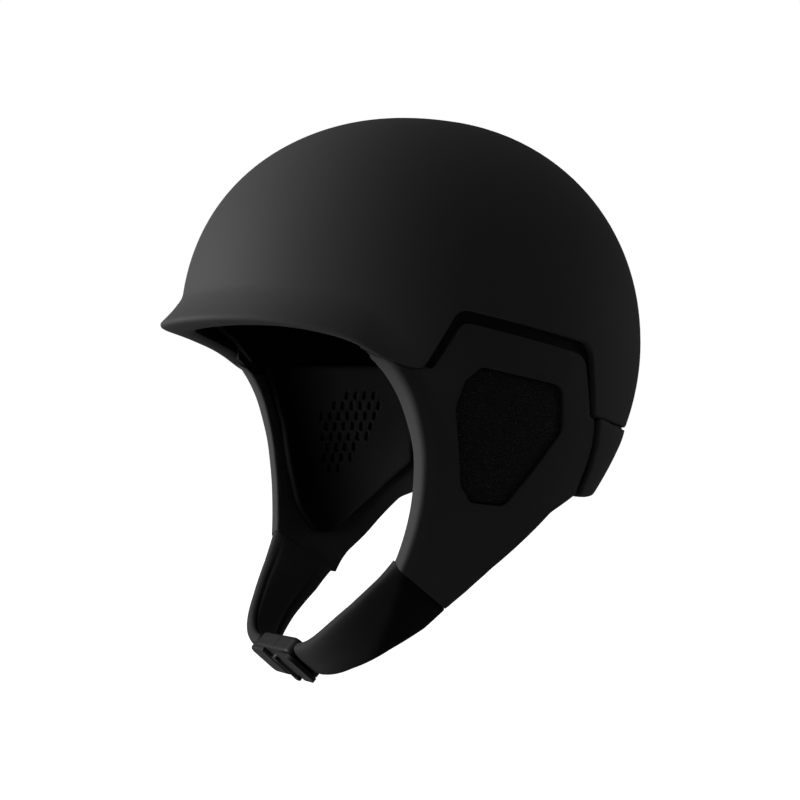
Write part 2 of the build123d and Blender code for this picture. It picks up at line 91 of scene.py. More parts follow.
def smoothLine(points, step=1.0):
    # natural cubic spline through points, sampled about every step
    points = np.array(points, float)
    chord = np.r_[0, np.cumsum(np.linalg.norm(np.diff(points, axis=0), axis=1))]
    n = len(points)
    gap = np.diff(chord)
    system, right = np.zeros((n, n)), np.zeros((n, points.shape[1]))
    system[0, 0] = system[-1, -1] = 1
    for i in range(1, n - 1):
        system[i, i - 1:i + 2] = gap[i - 1], 2 * (gap[i - 1] + gap[i]), gap[i]
        right[i] = 6 * ((points[i + 1] - points[i]) / gap[i] - (points[i] - points[i - 1]) / gap[i - 1])
    bend = np.linalg.solve(system, right)
    along = np.linspace(0, chord[-1], max(2, int(chord[-1] / step) + 1))
    i = np.clip(np.searchsorted(chord, along, side="right") - 1, 0, n - 2)
    low, high, h = (chord[i + 1] - along)[:, None], (along - chord[i])[:, None], gap[i][:, None]
    return ((bend[i] * low ** 3 + bend[i + 1] * high ** 3) / (6 * h)
            + (points[i] / h - bend[i] * h / 6) * low + (points[i + 1] / h - bend[i + 1] * h / 6) * high)


def roundedLine(points, radii, closed=False, step=1.0):
    # straight runs with rounded corners; an open line keeps its two ends, and radii are for the corners
    points = [np.array(p, float) for p in points]
    n = len(points)
    corners = range(n) if closed else range(1, n - 1)
    line = [] if closed else [points[0]]
    for number, i in enumerate(corners):
        before, here, after = points[i - 1], points[i], points[(i + 1) % n]
        a, b = before - here, after - here
        lengthA, lengthB = np.linalg.norm(a), np.linalg.norm(b)
        a, b = a / lengthA, b / lengthB
        half = math.acos(np.clip(a @ b, -1, 1)) / 2
        radius = radii[number]
        reach = min(radius / math.tan(half), 0.49 * lengthA, 0.49 * lengthB) if radius else 0
        radius = reach * math.tan(half)
        if radius < 0.05:
            line.append(here)
            continue
        centre = here + (a + b) / np.linalg.norm(a + b) * radius / math.sin(half)
        start, end = here + a * reach - centre, here + b * reach - centre
        turn = math.atan2(start[0] * end[1] - start[1] * end[0], start @ end)
        steps = max(2, int(abs(turn) * radius / step) + 1)
        for k in range(steps + 1):
            angle = turn * k / steps
            line.append(centre + np.array([start[0] * math.cos(angle) - start[1] * math.sin(angle),
                                           start[0] * math.sin(angle) + start[1] * math.cos(angle)]))
    if not closed:
        line.append(points[-1])
    return np.array(line)


def resample(line, step, closed=False):
    # points at even distances along a line
    if closed:
        line = np.vstack([line, line[:1]])
    along = np.r_[0, np.cumsum(np.linalg.norm(np.diff(line, axis=0), axis=1))]
    count = max(2, int(round(along[-1] / step)))
    places = np.linspace(0, along[-1], count + 1)[: count if closed else None]
    return np.column_stack([np.interp(places, along, line[:, i]) for i in range(line.shape[1])])


# small tools that every piece uses
def takeUp(piece):
    bpy.ops.object.select_all(action="DESELECT")
    piece.select_set(True)
    bpy.context.view_layer.objects.active = piece


def newest(name):
    piece = bpy.context.object
    piece.name = piece.data.name = name
    return piece


def coordinates(piece):
    flat = np.zeros(len(piece.data.vertices) * 3)
    piece.data.vertices.foreach_get("co", flat)
    return flat.reshape(-1, 3)


def setCoordinates(piece, places):
    piece.data.vertices.foreach_set("co", np.ascontiguousarray(places, float).ravel())
    piece.data.update()


def editMesh(piece, *steps):
    # runs edit-mode operators on the whole mesh
    takeUp(piece)
    bpy.ops.object.mode_set(mode="EDIT")
    bpy.ops.mesh.select_all(action="SELECT")
    for step in steps:
        step()
    bpy.ops.object.mode_set(mode="OBJECT")


def applyModifier(piece, kind, **settings):
    takeUp(piece)
    modifier = piece.modifiers.new(kind.title(), kind)
    for key, value in settings.items():
        setattr(modifier, key, value)
    bpy.ops.object.modifier_apply(modifier=modifier.name)


def selectedVertices(piece):
    chosen = np.zeros(len(piece.data.vertices), bool)
    piece.data.vertices.foreach_get("select", chosen)
    return np.nonzero(chosen)[0]


def outwards(outline):
    # unit directions that point out of a closed outline
    ahead = np.roll(outline, -1, 0) - np.roll(outline, 1, 0)
    ahead /= np.maximum(np.linalg.norm(ahead, axis=1), 1e-9)[:, None]
    following = np.roll(outline, -1, 0)
    turn = np.sign(np.sum(outline[:, 0] * following[:, 1] - following[:, 0] * outline[:, 1]))
    return np.column_stack([ahead[:, 1], -ahead[:, 0]]) * turn


def slab(name, outline, profile, share=1.0):
    # a flat slab with a side-view outline; each step of its profile is a depth under the form, which is
    # minus X until the slab is bent, and how far the outline draws in there, times the share of each point
    out = outwards(outline) * np.reshape(share * np.ones(len(outline)), (-1, 1))
    rings = []
    for depth, draw in profile:
        rings.append(np.column_stack([np.full(len(outline), -depth), outline - out * draw]) * mm)
    bpy.ops.object.select_all(action="DESELECT")
    bpy.ops.mesh.primitive_circle_add(vertices=len(outline), radius=1, fill_type="NGON")
    piece = newest(name)
    setCoordinates(piece, rings[0])
    editMesh(piece)  # leaves the whole disc selected for the first extrusion
    for before, ring in zip(rings, rings[1:]):
        takeUp(piece)
        bpy.ops.object.mode_set(mode="EDIT")
        bpy.ops.mesh.extrude_region_move()
        bpy.ops.object.mode_set(mode="OBJECT")
        places, new = coordinates(piece), selectedVertices(piece)
        match = np.argmin(np.linalg.norm(places[new][:, None] - before[None], axis=2), axis=1)
        places[new] = ring[match]
        setCoordinates(piece, places)
    editMesh(piece, lambda: bpy.ops.mesh.normals_make_consistent(inside=False))
    return piece


def distanceTo(line, points):
    # shortest distance from each point to a side-view line
    shortest = np.full(len(points), 1e9)
    for a, b in zip(line, line[1:]):
        span = b - a
        along = np.clip((points - a) @ span / max(span @ span, 1e-9), 0, 1)
        shortest = np.minimum(shortest, np.linalg.norm(points - a - along[:, None] * span, axis=1))
    return shortest


def fade(value, start, end):
    # 1 at the start and 0 at the end, smooth between
    t = np.clip((value - start) / (end - start), 0, 1)
    return 1 - t * t * (3 - 2 * t)


def cutAway(piece, cutter):
    applyModifier(piece, "BOOLEAN", object=cutter, operation="DIFFERENCE", solver="EXACT")
    bpy.data.objects.remove(cutter)


def gridCuts(piece, pitch):
    # cuts a flat piece into small cells, so that it can be bent over the form
    low, high = coordinates(piece).min(0), coordinates(piece).max(0)
    takeUp(piece)
    bpy.ops.object.mode_set(mode="EDIT")
    for axis in (1, 2):
        normal = [0, 0, 0]
        normal[axis] = 1
        # starting a little past half a cell keeps the cuts off the outline's own points
        for place in np.arange(low[axis] + pitch * mm * 0.53, high[axis], pitch * mm):
            bpy.ops.mesh.select_all(action="SELECT")
            centre = [0, 0, 0]
            centre[axis] = float(place)
            bpy.ops.mesh.bisect(plane_co=centre, plane_no=normal)
    bpy.ops.object.mode_set(mode="OBJECT")


def bendOver(piece):
    # bends a flat piece over the side of the form
    places = coordinates(piece) / mm
    places[:, 0] = sideX(places[:, 1], places[:, 2], -places[:, 0])
    setCoordinates(piece, places * mm)


def mirrorCopy(piece, name):
    takeUp(piece)
    bpy.ops.object.duplicate()
    other = newest(name)
    setCoordinates(other, coordinates(other) * [-1, 1, 1])
    editMesh(other, lambda: bpy.ops.mesh.flip_normals())
    return other


def finishPiece(piece, body, finish, stoodFor, angle=40):
    takeUp(piece)
    bpy.ops.object.shade_smooth_by_angle(angle=math.radians(angle))
    piece.data.materials.clear()
    piece.data.materials.append(finish)
    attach(piece, body)
    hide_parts(stoodFor)


# finishes
def newMaterial(name, colour, roughness, specular=0.35):
    material = bpy.data.materials.new(name)
    material.use_nodes = True
    shader = material.node_tree.nodes["Principled BSDF"]
    shader.inputs["Base Color"].default_value = (*colour, 1)
    shader.inputs["Roughness"].default_value = roughness
    shader.inputs["Specular IOR Level"].default_value = specular
    return material, material.node_tree, shader


def addNode(tree, kind, **settings):
    node = tree.nodes.new(kind)
    for key, value in settings.items():
        if hasattr(node, key):
            setattr(node, key, value)
        else:
            node.inputs[key].default_value = value
    return node


def grey(value):
    # a grey with a trace of blue
    return (value, value, value * 1.02)


def mottled(name, colour, roughness, specular, grainScale, grainDepth, cloudScale=14, cloudShare=0.25,
            roughSpread=0.08):
    # matt surface: fine grain in the bump, soft clouds in the colour and the gloss
    material, tree, shader = newMaterial(name, colour, roughness, specular)
    place = addNode(tree, "ShaderNodeTexCoord")
    cloud = addNode(tree, "ShaderNodeTexNoise", Scale=cloudScale, Detail=4.0, Roughness=0.55)
    grain = addNode(tree, "ShaderNodeTexNoise", Scale=grainScale, Detail=3.0, Roughness=0.6)
    tint = addNode(tree, "ShaderNodeMix", data_type="RGBA")
    tint.inputs["A"].default_value = (*[c * (1 - cloudShare) for c in colour], 1)
    tint.inputs["B"].default_value = (*[c * (1 + cloudShare) for c in colour], 1)
    gloss = addNode(tree, "ShaderNodeMapRange")
    gloss.inputs["To Min"].default_value = roughness - roughSpread
    gloss.inputs["To Max"].default_value = roughness + roughSpread
    bump = addNode(tree, "ShaderNodeBump", Strength=0.6, Distance=grainDepth * mm)
    for texture in (cloud, grain):
        tree.links.new(place.outputs["Object"], texture.inputs["Vector"])
    tree.links.new(cloud.outputs["Fac"], tint.inputs["Factor"])
    tree.links.new(tint.outputs["Result"], shader.inputs["Base Color"])
    tree.links.new(cloud.outputs["Fac"], gloss.inputs["Value"])
    tree.links.new(gloss.outputs["Result"], shader.inputs["Roughness"])
    tree.links.new(grain.outputs["Fac"], bump.inputs["Height"])
    tree.links.new(bump.outputs["Normal"], shader.inputs["Normal"])
    return material


shellPaint = mottled("softTouchBlack", grey(0.050), 0.62, 0.03, 2600, 0.03, 9, 0.04, 0.03)
panelFoam = mottled("mouldedFoam", grey(0.043), 0.70, 0.05, 1500, 0.08, 24, 0.06, 0.04)
bandRubber = mottled("recessRubber", grey(0.0080), 0.70, 0.12, 1200, 0.06)
linerFoam = mottled("beadFoam", grey(0.0030), 0.85, 0.05, 420, 0.20)
paddingClothPaintedShade = mottled("paddingClothPaintedShade", grey(0.0240), 0.85, 0.10, 1100, 0.10)
# black lining cloth of the comfort pads, painted darker still as painted shade for the inside of the helmet
liningClothAndShade = mottled("liningClothAndShade", grey(0.0025), 0.95, 0.01, 1100, 0.10)
sleeveCloth = mottled("sleeveCloth", grey(0.026), 0.72, 0.08, 1300, 0.07)
webbingWeave = mottled("webbingWeave", grey(0.015), 0.75, 0.10, 1900, 0.15)
cradleFoam = mottled("cradleFoam", grey(0.040), 0.68, 0.06, 1500, 0.08, 24, 0.06, 0.04)
bucklePlastic = mottled("acetal", grey(0.011), 0.48, 0.16, 2200, 0.02, 30, 0.10, 0.04)


# knitted mesh of the ear openings; pitch and depth in mm
meshKnit = {
    "colour": 0.026, "roughness": 0.80, "specular": 0.05, "pitch": 1.5, "lean": 0.62, "depth": 0.15,
    "wanderScale": 420.0, "wander": 14.0, "glintScale": 900.0, "glintRange": (0.56, 0.68), "glintGain": 2.6,
    "holeRange": (-0.35, 0.25), "holeShade": 0.25,
}


def knitted(name, knit):
    # fine knit in the side view: two slanted sets of threads that wander, with painted glints: threads here
    # and there painted brighter, as if they catch the light
    colour = grey(knit["colour"])
    material, tree, shader = newMaterial(name, colour, knit["roughness"], knit["specular"])
    place = addNode(tree, "ShaderNodeTexCoord")
    parts = addNode(tree, "ShaderNodeSeparateXYZ")
    tree.links.new(place.outputs["Object"], parts.inputs["Vector"])
    wander = addNode(tree, "ShaderNodeTexNoise", Scale=knit["wanderScale"], Detail=3.0)
    tree.links.new(place.outputs["Object"], wander.inputs["Vector"])
    waves = []
    for side in (1, -1):
        slant = addNode(tree, "ShaderNodeMath", operation="MULTIPLY_ADD")
        tree.links.new(parts.outputs["Z"], slant.inputs[0])
        slant.inputs[1].default_value = knit["lean"] * side
        tree.links.new(parts.outputs["Y"], slant.inputs[2])
        turned = addNode(tree, "ShaderNodeMath", operation="MULTIPLY_ADD")
        tree.links.new(slant.outputs["Value"], turned.inputs[0])
        turned.inputs[1].default_value = 2 * math.pi / (knit["pitch"] * mm)
        swing = addNode(tree, "ShaderNodeMath", operation="MULTIPLY")
        tree.links.new(wander.outputs["Fac"], swing.inputs[0])
        swing.inputs[1].default_value = knit["wander"] * side
        tree.links.new(swing.outputs["Value"], turned.inputs[2])
        wave = addNode(tree, "ShaderNodeMath", operation="SINE")
        tree.links.new(turned.outputs["Value"], wave.inputs[0])
        waves.append(wave)
    thread = addNode(tree, "ShaderNodeMath", operation="MULTIPLY")
    tree.links.new(waves[0].outputs["Value"], thread.inputs[0])
    tree.links.new(waves[1].outputs["Value"], thread.inputs[1])
    # painted glints: noise picks threads whose base colour is made brighter
    glint = addNode(tree, "ShaderNodeTexNoise", Scale=knit["glintScale"], Detail=3.0, Roughness=0.7)
    tree.links.new(place.outputs["Object"], glint.inputs["Vector"])
    lit = addNode(tree, "ShaderNodeMapRange")
    lit.inputs["From Min"].default_value, lit.inputs["From Max"].default_value = knit["glintRange"]
    tree.links.new(glint.outputs["Fac"], lit.inputs["Value"])
    hole = addNode(tree, "ShaderNodeMapRange")
    hole.inputs["From Min"].default_value, hole.inputs["From Max"].default_value = knit["holeRange"]
    tree.links.new(thread.outputs["Value"], hole.inputs["Value"])
    tint = addNode(tree, "ShaderNodeMix", data_type="RGBA")
    tint.inputs["A"].default_value = (*[c * knit["holeShade"] for c in colour], 1)
    tint.inputs["B"].default_value = (*colour, 1)
    tree.links.new(hole.outputs["Result"], tint.inputs["Factor"])
    bright = addNode(tree, "ShaderNodeMix", data_type="RGBA")
    bright.inputs["B"].default_value = (*[c * knit["glintGain"] for c in colour], 1)
    tree.links.new(tint.outputs["Result"], bright.inputs["A"])
    both = addNode(tree, "ShaderNodeMath", operation="MULTIPLY")
    tree.links.new(lit.outputs["Result"], both.inputs[0])
    tree.links.new(hole.outputs["Result"], both.inputs[1])
    tree.links.new(both.outputs["Value"], bright.inputs["Factor"])
    tree.links.new(bright.outputs["Result"], shader.inputs["Base Color"])
    bump = addNode(tree, "ShaderNodeBump", Strength=0.8, Distance=knit["depth"] * mm)
    tree.links.new(hole.outputs["Result"], bump.inputs["Height"])
    tree.links.new(bump.outputs["Normal"], shader.inputs["Normal"])
    return material


meshCloth = knitted("meshCloth", meshKnit)
steel = mottled("steel", (0.45, 0.45, 0.46), 0.32, 0.5, 900, 0.01, 60, 0.08, 0.05)
steel.node_tree.nodes["Principled BSDF"].inputs["Metallic"].default_value = 1.0

# colour of the darker area over the rear of each sleeve's outer face, where its patch attribute is 1
patchColour = grey(0.0035)


def addPatch(material):
    tree = material.node_tree
    base = tree.nodes["Principled BSDF"].inputs["Base Color"]
    patch = addNode(tree, "ShaderNodeAttribute", attribute_name="patch")
    mixed = addNode(tree, "ShaderNodeMix", data_type="RGBA")
    tree.links.new(base.links[0].from_socket, mixed.inputs["A"])
    mixed.inputs["B"].default_value = (*patchColour, 1)
    tree.links.new(patch.outputs["Fac"], mixed.inputs["Factor"])
    tree.links.new(mixed.outputs["Result"], base)


# painted shade and light on the ear pads: their cloth is painted darker at the front edge and lighter
# towards the rear, along a line that follows their front edge; start and end in metres
paintedPadShade = {"slant": 0.25, "From Min": -0.051, "From Max": 0.0, "To Min": 0.01, "To Max": 3.2}


def addPaintedPadShade(material):
    tree = material.node_tree
    base = tree.nodes["Principled BSDF"].inputs["Base Color"]
    place = addNode(tree, "ShaderNodeTexCoord")
    axes = addNode(tree, "ShaderNodeSeparateXYZ")
    slanted = addNode(tree, "ShaderNodeMath", operation="MULTIPLY_ADD")
    shade = addNode(tree, "ShaderNodeMapRange", interpolation_type="SMOOTHSTEP")
    mixed = addNode(tree, "ShaderNodeMix", data_type="RGBA", blend_type="MULTIPLY")
    tree.links.new(place.outputs["Object"], axes.inputs["Vector"])
    tree.links.new(axes.outputs["Z"], slanted.inputs[0])
    slanted.inputs[1].default_value = paintedPadShade["slant"]
    tree.links.new(axes.outputs["Y"], slanted.inputs[2])
    tree.links.new(slanted.outputs["Value"], shade.inputs["Value"])
    for socketName in ("From Min", "From Max", "To Min", "To Max"):
        shade.inputs[socketName].default_value = paintedPadShade[socketName]
    mixed.inputs["Factor"].default_value = 1
    tree.links.new(base.links[0].from_socket, mixed.inputs["A"])
    tree.links.new(shade.outputs["Result"], mixed.inputs["B"])
    tree.links.new(mixed.outputs["Result"], base)


addPatch(sleeveCloth)
# painted shade at the ear pads' front edge and painted light towards their rear
addPaintedPadShade(paddingClothPaintedShade)
print("finishes ready")

# the shell's lower edge in the side view, front to back
shellEdge = {
    "brow": [(-150, 7.6), (-126, 7.2), (-109, 5.2), (-96.8, 2.4), (-86, -1.0), (-77.4, -5.2),
             (-65.3, -12.8), (-57, -15.6)],
    "rest": [(-50.2, -16.9), (-33.5, 10.6), (41.5, -4.0), (46.3, -38.2), (64, -41.8), (90, -45),
             (150, -46)],
    "corners": [4, 7, 9, 2, 20, 20],
}
browLine = smoothLine(shellEdge["brow"], 0.5)
restLine = roundedLine([tuple(browLine[-1])] + shellEdge["rest"], shellEdge["corners"], step=0.5)
edgeLine = resample(np.vstack([browLine, restLine[1:]]), 0.4)

shell = {
    "columns": 360, "domeRows": 40, "rowCrowding": 0.9, "flareRows": 14, "innerRows": 22, "wall": 3.5,
    # the peak flares out below flareTop, between its two flareEnds in Y; past the lip's point number
    # innerLip the shell is black inside
    "flare": 10.5, "flareTop": 16.0, "flareEnds": (-50.0, -82.0), "innerLip": 9,
    # share of the way in from the outer skin, and height over the edge: under the peak, and elsewhere
    "peakLip": [(0, 1.1), (0.0, 0.3), (0.02, -0.5), (0.05, -1.1), (0.12, -1.6), (0.3, -2.3), (0.6, -2.9),
                (0.9, -3.2), (1.15, -3.0), (1.3, -2.2), (1.4, -0.5), (1.42, 2.5)],
    "plainLip": [(0, 1.2), (0.0, 0.8), (0.05, 0.42), (0.13, 0.14), (0.25, 0), (0.42, 0), (0.58, 0),
                 (0.75, 0), (0.87, 0.14), (0.95, 0.42), (1.0, 0.8), (1.0, 1.8)],
}
# how much of the peak's flare is there at each height over the edge
flareHeights = [0, 1.0, 3.5, 7.0, 11.5, 14.0, 16.0]
flareReaches = [1.02, 0.985, 0.75, 0.45, 0.15, 0.03, 0.0]


def shellPoint(across, along, weight, z, inset, flareShare):
    width, front, back = levelSize(z, inset)
    reach = np.where(along < 0, front + flareShare * shell["flare"] * weight, back)
    return np.stack([width * across, reach * along, z + 0 * across], -1)


def domeLevel(turn):
    # level of a row: round over the crown, then straight down
    turn = np.asarray(turn, float)
    top = headForm["crownHeight"]
    crown = np.cos(np.minimum(turn, math.pi / 2)) ** (1 / headForm["crownSpacing"])
    return np.where(turn < math.pi / 2, top * crown, -(turn - math.pi / 2) * top)


def turnOf(z):
    # turn of a row at level z
    top = headForm["crownHeight"]
    crown = np.clip((np.maximum(z, 0) / top) ** headForm["crownSpacing"], -1, 1)
    return np.where(z > 0, np.arccos(crown), math.pi / 2 - z / top)


def shellColumns():
    # direction, peak weight and edge level of each column over the left half, evenly round the edge
    y, z = edgeLine[:, 0], edgeLine[:, 1]
    weight = np.clip((shell["flareEnds"][0] - y) / (shell["flareEnds"][0] - shell["flareEnds"][1]), 0, 1)
    weight = weight * weight * (3 - 2 * weight)
    width, front, back = levelSize(z, 0)
    along = np.where(y < 0, y / (front + shell["flare"] * weight), y / back)
    keep = np.abs(along) < 1
    first, last = np.argmax(keep), len(keep) - np.argmax(keep[::-1])
    along, weight, z = along[first:last], weight[first:last], z[first:last]
    along, weight, z = np.r_[-1, along, 1], np.r_[1, weight, 0], np.r_[z[0], z, z[-1]]
    power = headForm["planRoundness"]
    fine = np.linspace(0, len(along) - 1, len(along) * 12)
    table = np.column_stack([np.interp(fine, np.arange(len(along)), v) for v in (along, weight, z)])
    across = (1 - np.clip(np.abs(table[:, 0]), 0, 1) ** power) ** (1 / power)
    line = shellPoint(across, table[:, 0], table[:, 1], table[:, 2], 0, 1.0)
    length = np.r_[0, np.cumsum(np.linalg.norm(np.diff(line, axis=0), axis=1))]
    places = np.linspace(0, length[-1], shell["columns"] // 2 + 1)
    angle = np.interp(places, length, np.arctan2(table[:, 0], across))
    # the angle keeps the two ends even
    size = (np.abs(np.sin(angle)) ** power + np.abs(np.cos(angle)) ** power) ** (1 / power)
    along, across = np.sin(angle) / size, np.abs(np.cos(angle)) / size
    return across, along, np.interp(places, length, table[:, 1]), np.interp(places, length, table[:, 2])


def makeShell():
    across, along, weight, edge = shellColumns()
    half = shell["columns"] // 2
    rows = []
    foot = edge + shell["flareTop"]
    for k in range(1, shell["domeRows"] + 1):
        z = domeLevel(turnOf(foot) * (k / shell["domeRows"]) ** shell["rowCrowding"])
        rows.append(shellPoint(across, along, weight, z, 0, 0))
    lips = []
    for (shareA, heightA), (shareB, heightB) in zip(shell["peakLip"], shell["plainLip"]):
        lips.append((shareA * weight + shareB * (1 - weight), heightA * weight + heightB * (1 - weight)))
    for k in range(1, shell["flareRows"] + 1):
        height = shell["flareTop"] + (lips[0][1] - shell["flareTop"]) * k / shell["flareRows"]
        rows.append(shellPoint(across, along, weight, edge + height, 0,
                               np.interp(height, flareHeights, flareReaches)))
    for share, height in lips[1:]:
        rows.append(shellPoint(across, along, weight, edge + height, shell["wall"] * share,
                               (1 - share) * np.interp(np.maximum(height, 0), flareHeights, flareReaches)))
    top = edge + lips[-1][1]
    for k in range(1, shell["innerRows"]):
        z = domeLevel(turnOf(top) * (1 - k / shell["innerRows"])) - shell["wall"] * k / shell["innerRows"]
        rows.append(shellPoint(across, along, weight, z, shell["wall"], 0))
    bpy.ops.object.select_all(action="DESELECT")
    bpy.ops.mesh.primitive_uv_sphere_add(segments=shell["columns"], ring_count=len(rows) + 1, radius=1)
    piece = newest("outerShell")
    ball = coordinates(piece)
    ring = np.rint(np.arccos(np.clip(ball[:, 2], -1, 1)) / math.pi * (len(rows) + 1)).astype(int)
    column = np.rint((np.arctan2(ball[:, 1], ball[:, 0]) + math.pi / 2) / (2 * math.pi) * shell["columns"])
    column = column.astype(int) % shell["columns"]
    left = np.where(column <= half, column, shell["columns"] - column)
    table = np.array(rows)
    places = table[np.clip(ring - 1, 0, len(rows) - 1), left]
    places[:, 0] *= np.where(column <= half, 1, -1)
    places[ring == 0] = (0, 0, headForm["crownHeight"])
    places[ring == len(rows) + 1] = (0, 0, headForm["crownHeight"] - shell["wall"])
    setCoordinates(piece, places * mm)
    return piece, ring


outerShell, shellRings = makeShell()
finishPiece(outerShell, "helmet", shellPaint, "outer_shell", angle=50)
outerShell.data.materials.append(linerFoam)
innerStart = shell["domeRows"] + shell["flareRows"] + shell["innerLip"]
for face in outerShell.data.polygons:
    face.material_index = int(min(shellRings[list(face.vertices)]) >= innerStart)
print("shell ready")

# side panels: foam plates bent over the form, with a thick rolled rim and an ear opening
panel = {
    "rim": [(-79, -4.0), (-72.5, -8.8), (-66.3, -13.8), (-61.2, -20.4), (-56.6, -29), (-52.4, -41.6),
            (-49.7, -53.6), (-48.7, -66), (-48.6, -78), (-49.4, -88.6), (-52.6, -107.6), (-56.4, -121)],
    "foot": [(-32, -138), (-11, -115), (24, -84.2), (40.7, -76.9)],
    "footCorners": [0, 30, 14],
    "back": [(47.6, -54), (46.9, -40.5), (42.8, -38.6), (37, -9.3), (-31.4, 4.6), (-45.8, -17.6),
             (-57, -10), (-76, 6)],
    "backCorners": [2.5, 12, 2, 1, 9, 5, 3, 0],
    "inside": 8.0, "outside": 1.0, "rounding": 1.1, "roundedFrom": 60.0, "gap": 0.3, "cell": 3.0,
    # depth, and how far the rim draws back there
    "profile": [(8.0, 1.3), (7.7, 0.6), (7.2, 0.15), (6.6, 0.0), (3.0, 0.0), (2.3, 0.25), (1.75, 0.8),
                (1.35, 1.6), (1.1, 2.4), (1.0, 3.2)],
    "rimTaper": 8,  # points at the rim's hidden top over which that drawing back grows
    # how far the rim stands out and in and over what width, from which level it starts under the shell
    # and from which level it stands in
    "bulge": 2.8, "bulgeWidth": 8.5, "swell": 2.4, "swellWidth": 12.0, "rimStart": (-16, -9),
    "swellStart": (-22, -60),
    # the same for the foot, with the lean of its cut in Y and Z and what is left of both at the strap
    "lean": (-0.60, 0.69), "leanWidth": 14.0, "leanStart": -104, "leanLeft": 0.72,
    "footSwell": 5.0, "footSwellWidth": 13.0, "footSwellStart": -106, "strapLevel": -124,
    # the hidden tip of the rim is as thin as the shell's wall in front of this stretch of Y; behind it
    # there is room for all the swelling
    "tipDepth": 3.0, "tipEnd": (-60, -52), "room": 9.0,
}
earOpening = {
    "corners": [(-22.5, -15.4), (23, -23.8), (24.5, -45), (-5, -80), (-23.5, -77.5), (-29.5, -69),
                (-34.6, -34), (-30.5, -22)],
    "radii": [5, 6, 7, 6, 4, 5, 5, 5],
}
strap = {
    "root": (75.7, -38.7, -118.6), "across": (-0.18, 0.78, -0.60), "outward": (0.878, -0.126, -0.461),
    "down": (-0.435, -0.61, -0.66), "depth": 6.0, "gap": 0.4,
    "buckleCentre": (1.2, -74.2, -159.4), "buckleAlong": (0.992, -0.045, 0.119),
    "buckleOutward": (0.054, -0.694, -0.713),
}


def cutAtStrap(piece):
    # cuts a bent left-hand piece square to the strap, and closes the cut
    takeUp(piece)
    bpy.ops.object.mode_set(mode="EDIT")
    bpy.ops.mesh.select_all(action="SELECT")
    bpy.ops.mesh.bisect(plane_co=Vector(strap["root"]) * mm, plane_no=Vector(strap["down"]),
                        use_fill=True, clear_outer=True)
    bpy.ops.object.mode_set(mode="OBJECT")


outlineStep = 0.8
farOut = 150.0
through = [(16, 0), (-6, 0)]  # depths of a cutter that goes through any panel
rimLine = smoothLine(panel["rim"])
wholeFoot = roundedLine([tuple(rimLine[-1])] + panel["foot"] + panel["back"],
                        panel["footCorners"] + panel["backCorners"], step=outlineStep)
panelLine = np.vstack([rimLine, wholeFoot[1:]])
footLine = np.vstack([rimLine[-1:], panel["foot"]])
underShell = np.vstack([edgeLine - [0, panel["gap"]], [(farOut, farOut), (-farOut, farOut)]])


def bendPanel(piece):
    # bends the flat panel over the form: its rim stands proud and thick, and the cut of its foot leans in
    places = coordinates(piece) / mm
    depth, side = -places[:, 0], places[:, 1:].copy()
    inner = 1 - (panel["inside"] - depth) / (panel["inside"] - panel["outside"])
    toFoot = distanceTo(footLine, side)
    sunk = sideX(side[:, 0], side[:, 1], panel["outside"]) - sideX(side[:, 0], side[:, 1], depth)
    left = panel["leanLeft"]
    lean = left + (1 - left) * fade(side[:, 1], panel["leanStart"], panel["strapLevel"])
    lean = lean * fade(toFoot, 0, panel["leanWidth"]) * np.maximum(sunk, 0)
    side -= lean[:, None] * np.array(panel["lean"])
    toRim = distanceTo(rimLine, side)
    below = fade(side[:, 1], *panel["rimStart"])
    depth = depth - panel["bulge"] * (1 - inner) * fade(toRim, 0, panel["bulgeWidth"]) * below
    swell = fade(toRim, 1, panel["swellWidth"]) * fade(side[:, 1], *panel["swellStart"]) * below
    depth = depth + panel["swell"] * inner * swell
    swell = fade(toFoot, 3, panel["footSwellWidth"]) * \
        fade(side[:, 1], panel["footSwellStart"], panel["strapLevel"])
    depth = depth + panel["footSwell"] * inner * swell
    tip = (1 - below) * fade(side[:, 0], *panel["tipEnd"])
    deepest = panel["inside"] - tip * (panel["inside"] - panel["tipDepth"]) + panel["room"] * (1 - tip)
    depth = np.minimum(depth, deepest)
    places[:, 1:] = side
    places[:, 0] = sideX(side[:, 0], side[:, 1], depth)
    setCoordinates(piece, places * mm)


rimShare = np.zeros(len(panelLine))
rimShare[:len(rimLine)] = np.clip(np.arange(len(rimLine)) / panel["rimTaper"], 0, 1)
sidePanel = slab("sidePanelLeft", panelLine, panel["profile"], rimShare)
cutAway(sidePanel, slab("cutter", underShell, through))
openingLine = roundedLine(earOpening["corners"], earOpening["radii"], closed=True, step=outlineStep)
cutAway(sidePanel, slab("cutter", openingLine, through))
applyModifier(sidePanel, "BEVEL", width=panel["rounding"] * mm, segments=3, limit_method="ANGLE",
              angle_limit=math.radians(panel["roundedFrom"]), harden_normals=False)
gridCuts(sidePanel, panel["cell"])
bendPanel(sidePanel)
cutAtStrap(sidePanel)
otherPanel = mirrorCopy(sidePanel, "sidePanelRight")
for piece, side in ((sidePanel, "left"), (otherPanel, "right")):
    finishPiece(piece, "helmet", panelFoam, f"side_panel_{side}", angle=35)
print("side panels ready")

# ear meshes: fine cloth stretched a little outwards in each opening
meshPlate = {
    "profile": [(4.0, 0.15), (3.0, 0.15), (2.7, 0.5)], "cell": 2.5, "swell": 1.0, "swellRange": (0.5, 9.0),
}
earMesh = slab("earMeshLeft", openingLine, meshPlate["profile"])
gridCuts(earMesh, meshPlate["cell"])
places = coordinates(earMesh) / mm
toOpening = distanceTo(np.vstack([openingLine, openingLine[:1]]), places[:, 1:])
places[:, 0] += meshPlate["swell"] * (1 - fade(toOpening, *meshPlate["swellRange"]))
setCoordinates(earMesh, places * mm)
bendOver(earMesh)
otherMesh = mirrorCopy(earMesh, "earMeshRight")
for piece, side in ((earMesh, "left"), (otherMesh, "right")):
    finishPiece(piece, "helmet", meshCloth, f"ear_mesh_{side}", angle=60)
print("ear meshes ready")

